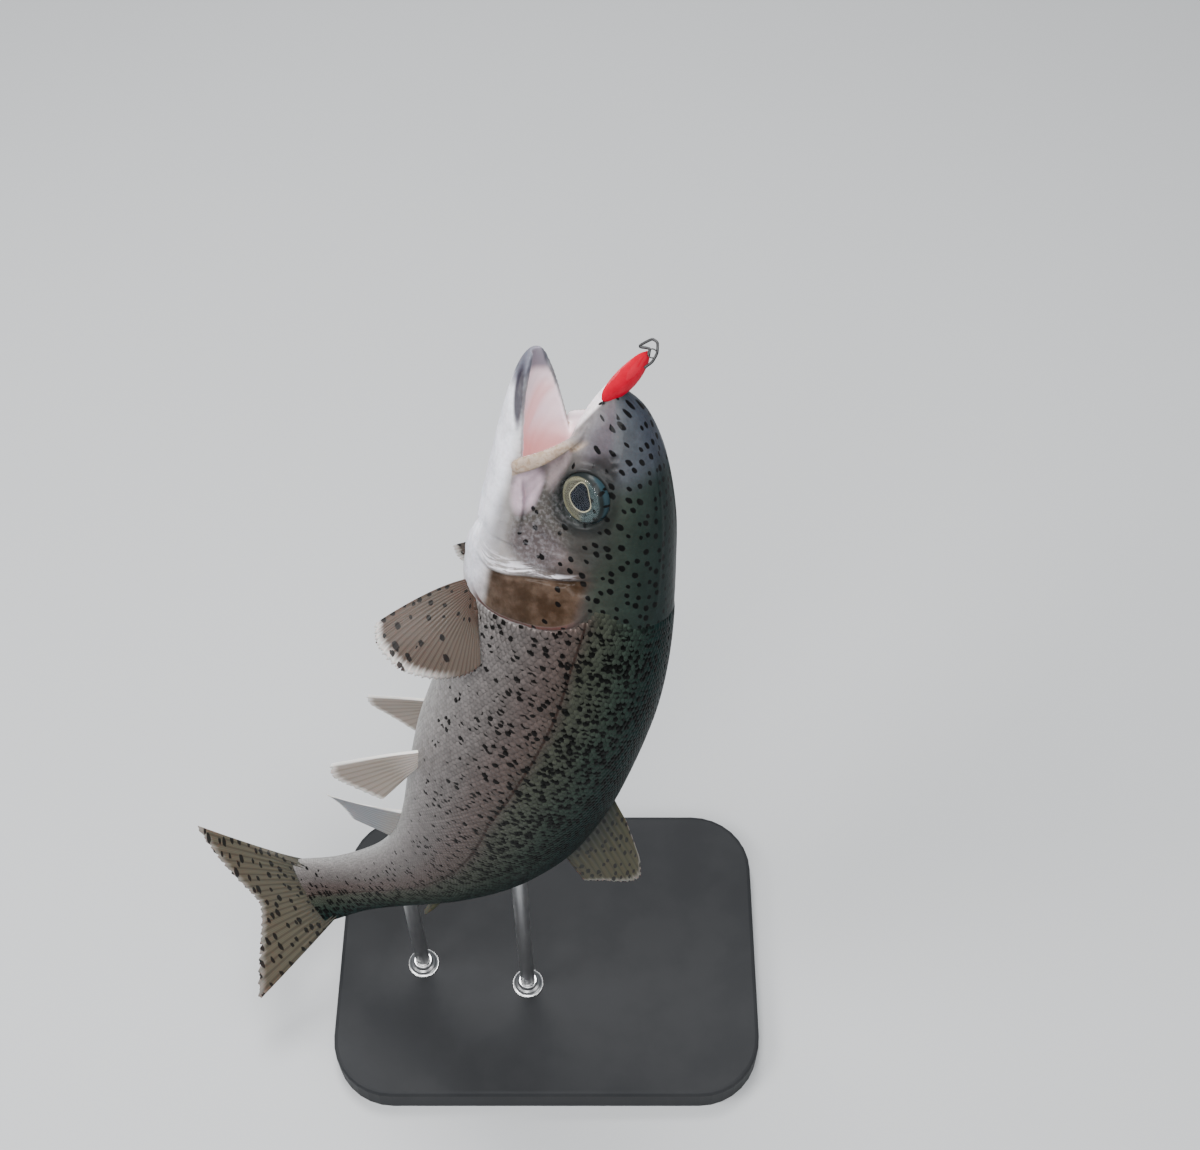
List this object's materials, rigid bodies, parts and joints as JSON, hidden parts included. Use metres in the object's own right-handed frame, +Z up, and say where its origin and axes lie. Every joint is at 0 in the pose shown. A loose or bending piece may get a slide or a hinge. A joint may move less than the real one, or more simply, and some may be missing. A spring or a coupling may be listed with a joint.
{
  "type": "rainbow trout display model",
  "caption": "Life-size rainbow trout with an open mouth and curled tail, head up on a plain two-rod stand, with a red spoon lure at its snout.",
  "frame": {"origin": "centre of the stand base's underside, on the surface it stands on", "axes": "+Z up; +X to the fish's back side, tail towards -X; the fish's left side faces -Y"},
  "size_m": [0.2701, 0.15, 0.4171],
  "materials": {
    "trout_skin": "wet scaled skin, dark spotted back and silver flank",
    "jaw_skin": "smooth wet skin",
    "fin_skin": "thin rayed fin skin",
    "eye_gloss": "clear gloss over a pale gold iris",
    "tongue_skin": "wet pink skin",
    "red_enamel": "gloss",
    "black_wire": "satin",
    "base_paint": "matt black paint",
    "rod_steel": "brushed"
  },
  "bodies": {
    "root": {"head": "trout_skin", "lower_jaw": "jaw_skin", "tongue": "tongue_skin", "maxilla_left": "jaw_skin", "maxilla_right": "jaw_skin", "eye_left": "eye_gloss", "eye_right": "eye_gloss", "gill_cover_left": "trout_skin", "gill_cover_right": "trout_skin", "trunk_front": "trout_skin", "trunk_rear": "trout_skin", "tail_stalk": "trout_skin", "dorsal_fin": "fin_skin", "adipose_fin": "fin_skin", "anal_fin": "fin_skin", "caudal_fin": "fin_skin", "pectoral_fin_left": "fin_skin", "pectoral_fin_right": "fin_skin", "pelvic_fin_left": "fin_skin", "pelvic_fin_right": "fin_skin", "lure_spoon": "red_enamel", "lure_snap": "black_wire", "lure_hook": "black_wire", "stand_base": "base_paint", "stand_rod_front": "rod_steel", "stand_rod_back": "rod_steel"}
  },
  "joints": []
}
